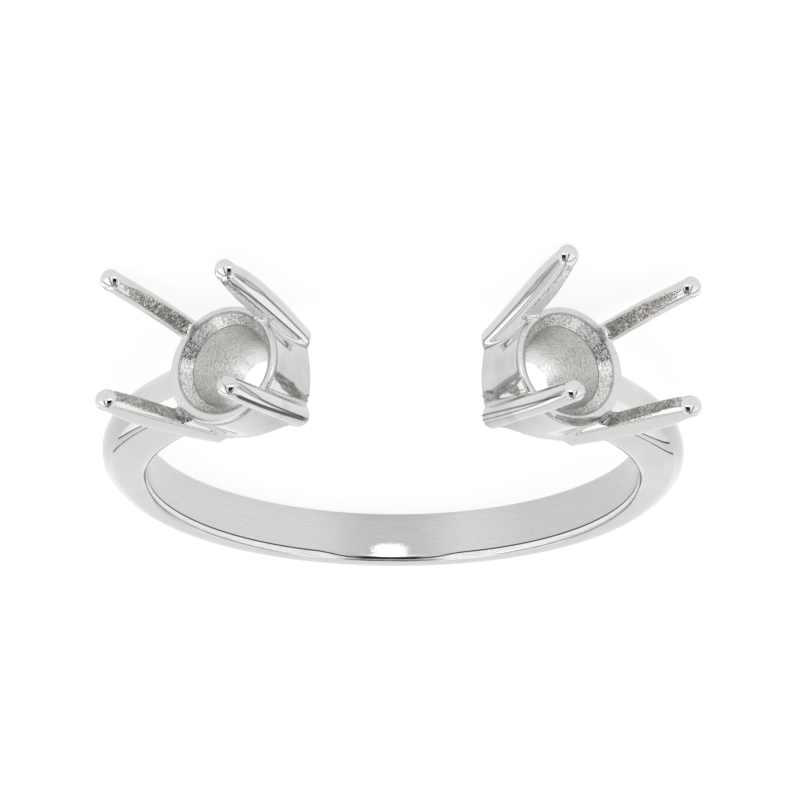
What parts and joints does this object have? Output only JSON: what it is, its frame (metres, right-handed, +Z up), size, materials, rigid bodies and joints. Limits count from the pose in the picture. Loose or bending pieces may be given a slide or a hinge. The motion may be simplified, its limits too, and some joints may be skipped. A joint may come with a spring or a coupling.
{
  "type": "semi mount ring setting",
  "caption": "Semi mount ring setting in white metal: an open-topped band that carries round cups with tapered bores, bevelled seats and long uncut prongs, ready for stones.",
  "frame": {"origin": "middle of the footprint on the table, under the centre of the bounding box", "axes": "The ring lies on its side. +Z is up, nearly along the finger hole. The cups point towards -Y, and the bottom of the band is at +Y. +X is to the left for a viewer who looks at the ring from above with the cups at the top."},
  "size_m": [0.0206, 0.0236, 0.0055],
  "materials": {
    "white_metal": "polished outside, satin inside the band and on the rims, rough as cast in the seats and on the prongs' inner faces"
  },
  "bodies": {
    "root": {"ring_mount": "white_metal"}
  },
  "joints": []
}
